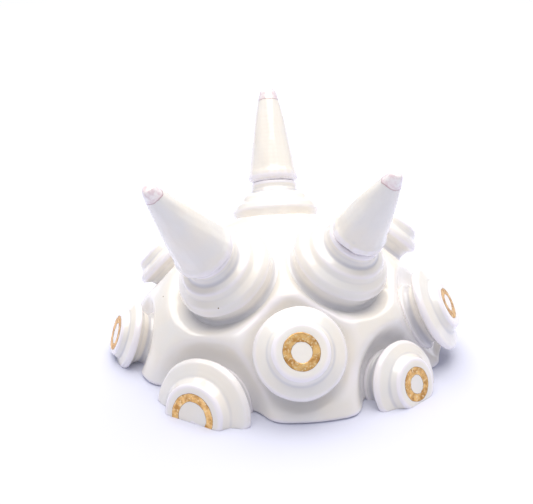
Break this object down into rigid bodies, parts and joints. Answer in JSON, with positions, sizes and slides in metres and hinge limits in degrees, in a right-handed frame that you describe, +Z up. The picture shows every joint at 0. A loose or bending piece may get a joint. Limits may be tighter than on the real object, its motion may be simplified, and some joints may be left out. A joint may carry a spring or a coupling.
{
  "type": "flower frog",
  "caption": "Hollow glazed porcelain dome with luted stepped bosses; upright cones stand among the stems and flat knobs carry painted gold rings.",
  "frame": {"origin": "on the table plane that the foot rim stands on, under the middle of the whole outline", "axes": "+Z up from the table; -Y is the front, where the highest of the front knobs faces; +X is to the right seen from the front"},
  "size_m": [0.126, 0.1264, 0.0788],
  "materials": {
    "glazed_porcelain": "thick clear gloss glaze on white porcelain, pooling slightly in the grooves",
    "gold_lustre": "fired gold lustre painted by hand on the glaze, mottled and uneven at the edges",
    "pearl_lustre": "mother-of-pearl lustre on the glaze, pinkish"
  },
  "bodies": {
    "root": {"cone_back": "glazed_porcelain", "cone_left": "glazed_porcelain", "cone_right": "glazed_porcelain", "dome_shell": "glazed_porcelain", "gold_ring_back_left": "gold_lustre", "gold_ring_back_left_upper": "gold_lustre", "gold_ring_back_right": "gold_lustre", "gold_ring_back_right_upper": "gold_lustre", "gold_ring_front": "gold_lustre", "gold_ring_front_left": "gold_lustre", "gold_ring_front_right": "gold_lustre", "gold_ring_left": "gold_lustre", "gold_ring_right": "gold_lustre", "knob_back_left": "glazed_porcelain", "knob_back_left_upper": "glazed_porcelain", "knob_back_right": "glazed_porcelain", "knob_back_right_upper": "glazed_porcelain", "knob_front": "glazed_porcelain", "knob_front_left": "glazed_porcelain", "knob_front_right": "glazed_porcelain", "knob_left": "glazed_porcelain", "knob_right": "glazed_porcelain", "pearl_tip_back": "pearl_lustre", "pearl_tip_left": "pearl_lustre", "pearl_tip_right": "pearl_lustre", "spike_boss_back": "glazed_porcelain", "spike_boss_left": "glazed_porcelain", "spike_boss_right": "glazed_porcelain"}
  },
  "joints": []
}
